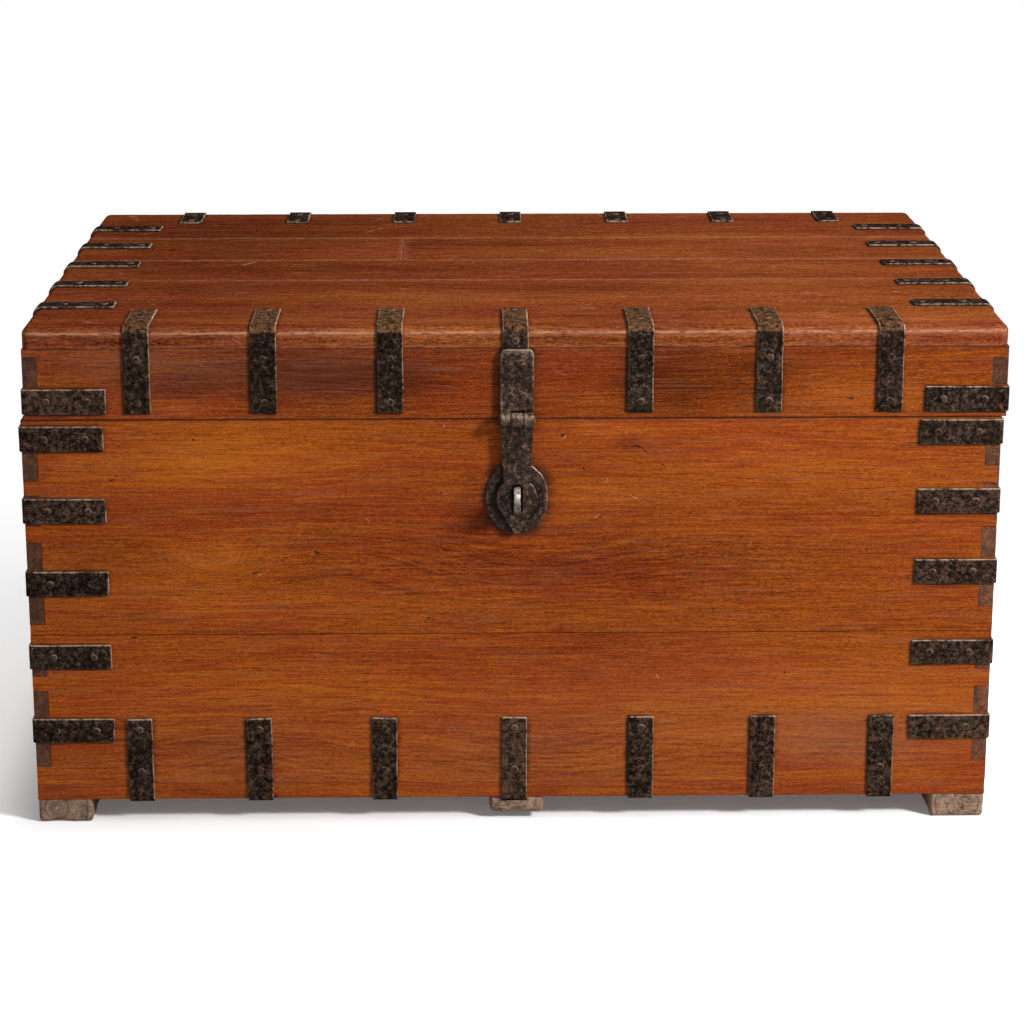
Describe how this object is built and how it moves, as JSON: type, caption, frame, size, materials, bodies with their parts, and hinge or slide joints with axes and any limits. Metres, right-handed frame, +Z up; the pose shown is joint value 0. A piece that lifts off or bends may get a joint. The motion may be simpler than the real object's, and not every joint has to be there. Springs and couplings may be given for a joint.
{
  "type": "iron-bound plank chest",
  "caption": "Large iron-bound hardwood chest with a flat hinged lid, a slotted hasp over a staple, bearers below and a drop handle on each end.",
  "frame": {"origin": "centre of the base of the bounding box, on the floor", "axes": "+Z up, -Y is the front with the hasp, +X to the right seen from the front"},
  "size_m": [1.27, 0.8332, 0.6568],
  "materials": {
    "teak_case": "oiled orange-brown teak boards, worn and rubbed",
    "teak_lid_top": "redder, darker and scratched teak boards",
    "bearer_wood": "bare grey-brown wood, worn round at the edges",
    "strap_iron": "blackened wrought iron with rust-brown patches",
    "nail_iron": "hand-made iron nails with rusted heads",
    "fitting_iron": "forged iron, brown-black, rubbed at the edges"
  },
  "bodies": {
    "case": {"back_board_lower": "teak_case", "back_board_upper": "teak_case", "bearer_nails": "nail_iron", "bottom_board_front": "teak_case", "bottom_board_middle": "teak_case", "bottom_board_nails": "nail_iron", "bottom_board_rear": "teak_case", "case_back_left_corner_straps": "strap_iron", "case_back_right_corner_straps": "strap_iron", "case_bottom_back_straps": "strap_iron", "case_bottom_front_straps": "strap_iron", "case_bottom_left_straps": "strap_iron", "case_bottom_right_straps": "strap_iron", "case_bottom_strap_nails": "nail_iron", "case_corner_strap_nails": "nail_iron", "case_front_left_corner_straps": "strap_iron", "case_front_right_corner_straps": "strap_iron", "front_board_lower": "teak_case", "front_board_upper": "teak_case", "hinge_case_nails": "nail_iron", "left_bearer": "bearer_wood", "left_handle_eyes": "fitting_iron", "left_hinge_case_leaf": "fitting_iron", "left_hinge_pin": "fitting_iron", "left_side_board_lower": "teak_case", "left_side_board_upper": "teak_case", "middle_bearer": "bearer_wood", "right_bearer": "bearer_wood", "right_handle_eyes": "fitting_iron", "right_hinge_case_leaf": "fitting_iron", "right_hinge_pin": "fitting_iron", "right_side_board_lower": "teak_case", "right_side_board_upper": "teak_case", "staple": "fitting_iron", "staple_plate": "fitting_iron"},
    "lid": {"hasp_leaf": "fitting_iron", "hasp_leaf_nails": "nail_iron", "hasp_pin": "fitting_iron", "hinge_lid_nails": "nail_iron", "left_hinge_lid_leaf": "fitting_iron", "lid_back_rail": "teak_case", "lid_back_straps": "strap_iron", "lid_corner_straps": "strap_iron", "lid_dowels": "teak_case", "lid_front_rail": "teak_case", "lid_front_straps": "strap_iron", "lid_left_rail": "teak_case", "lid_left_straps": "strap_iron", "lid_right_rail": "teak_case", "lid_right_straps": "strap_iron", "lid_strap_nails": "nail_iron", "lid_top_board_front": "teak_lid_top", "lid_top_board_front_middle": "teak_lid_top", "lid_top_board_rear": "teak_lid_top", "lid_top_board_rear_middle_left": "teak_lid_top", "lid_top_board_rear_middle_right": "teak_lid_top", "right_hinge_lid_leaf": "fitting_iron"},
    "hasp": {"hasp_arm": "fitting_iron"},
    "left_handle": {"left_handle_bail": "fitting_iron"},
    "right_handle": {"right_handle_bail": "fitting_iron"}
  },
  "joints": [
    {"name": "lid_open", "type": "hinge", "parent": "case", "child": "lid", "pos_m": [0, 0.40399, 0.53615], "axis": [-1, 0, 0], "range_deg": [0, 105]},
    {"name": "hasp_swing", "type": "hinge", "parent": "lid", "child": "hasp", "pos_m": [0.0055, -0.39501, 0.537], "axis": [-1, 0, 0], "range_deg": [0, 170]},
    {"name": "left_handle_swing", "type": "hinge", "parent": "case", "child": "left_handle", "pos_m": [-0.626, 0.00669, 0.37], "axis": [0, 1, 0], "range_deg": [0, 180]},
    {"name": "right_handle_swing", "type": "hinge", "parent": "case", "child": "right_handle", "pos_m": [0.626, 0.00669, 0.37], "axis": [0, -1, 0], "range_deg": [0, 180]}
  ]
}
